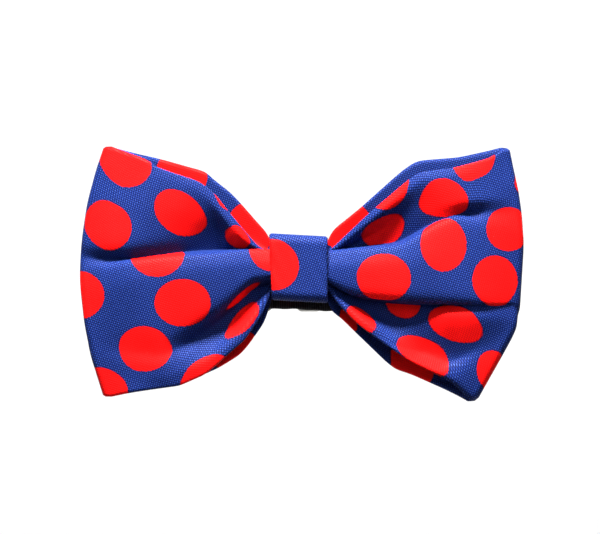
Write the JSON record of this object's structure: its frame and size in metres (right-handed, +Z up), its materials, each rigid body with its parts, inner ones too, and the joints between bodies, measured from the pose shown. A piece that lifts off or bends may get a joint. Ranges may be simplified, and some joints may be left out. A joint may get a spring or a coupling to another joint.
{
  "type": "ready-tied bow tie",
  "caption": "Pinched cloth bow with a wrapped knot, on a black ribbon neck strap that hooks behind the neck and adjusts with a slide.",
  "frame": {"origin": "on the neck side of the strap's front stretch, straight behind the middle of the knot", "axes": "+Z up as worn, +Y from the bow towards the neck, +X to the right of someone looking at the bow"},
  "size_m": [0.1198, 0.132, 0.0683],
  "materials": {
    "printed_cloth": "woven royal blue cloth printed with red dots",
    "interlining": "unbleached stiffening felt",
    "blue_thread": "twisted thread",
    "black_thread": "twisted thread",
    "black_ribbon": "ribbed satin-edged ribbon",
    "nickel": "nickel plate, lightly rubbed"
  },
  "bodies": {
    "bow": {"bow_shell": "printed_cloth", "bow_interlining": "interlining", "waist_thread": "blue_thread", "knot_wrap": "printed_cloth", "knot_lining": "interlining", "knot_stitches": "blue_thread", "knot_tack": "black_thread", "strap_front": "black_ribbon"},
    "left_arm": {"strap_left": "black_ribbon", "hook_tack": "black_thread"},
    "right_arm": {"strap_right": "black_ribbon", "strap_tail": "black_ribbon"},
    "hook": {"hook": "nickel"},
    "eye": {"eye": "nickel"},
    "slide": {"slide": "nickel", "tail_loop": "black_ribbon", "slide_tack": "black_thread"}
  },
  "joints": [
    {"name": "left_arm_bend", "type": "hinge", "parent": "bow", "child": "left_arm", "pos_m": [-0.056, 0.036, -0.0034], "axis": [0, 0, 1], "range_deg": [0, 60]},
    {"name": "right_arm_bend", "type": "hinge", "parent": "bow", "child": "right_arm", "pos_m": [0.056, 0.036, -0.0034], "axis": [0, 0, -1], "range_deg": [0, 60]},
    {"name": "hook_swing", "type": "hinge", "parent": "left_arm", "child": "hook", "pos_m": [-0.014, 0.10638, -0.0034], "axis": [0, 0, 1], "range_deg": [-30, 60]},
    {"name": "eye_swing", "type": "hinge", "parent": "right_arm", "child": "eye", "pos_m": [0.0065, 0.10638, -0.0034], "axis": [0, 0, 1], "range_deg": [-40, 50]},
    {"name": "slide_adjust", "type": "slide", "parent": "right_arm", "child": "slide", "axis": [0, 1, 0], "range_m": [-0.01, 0.01], "deforming": ["strap_tail"]}
  ]
}
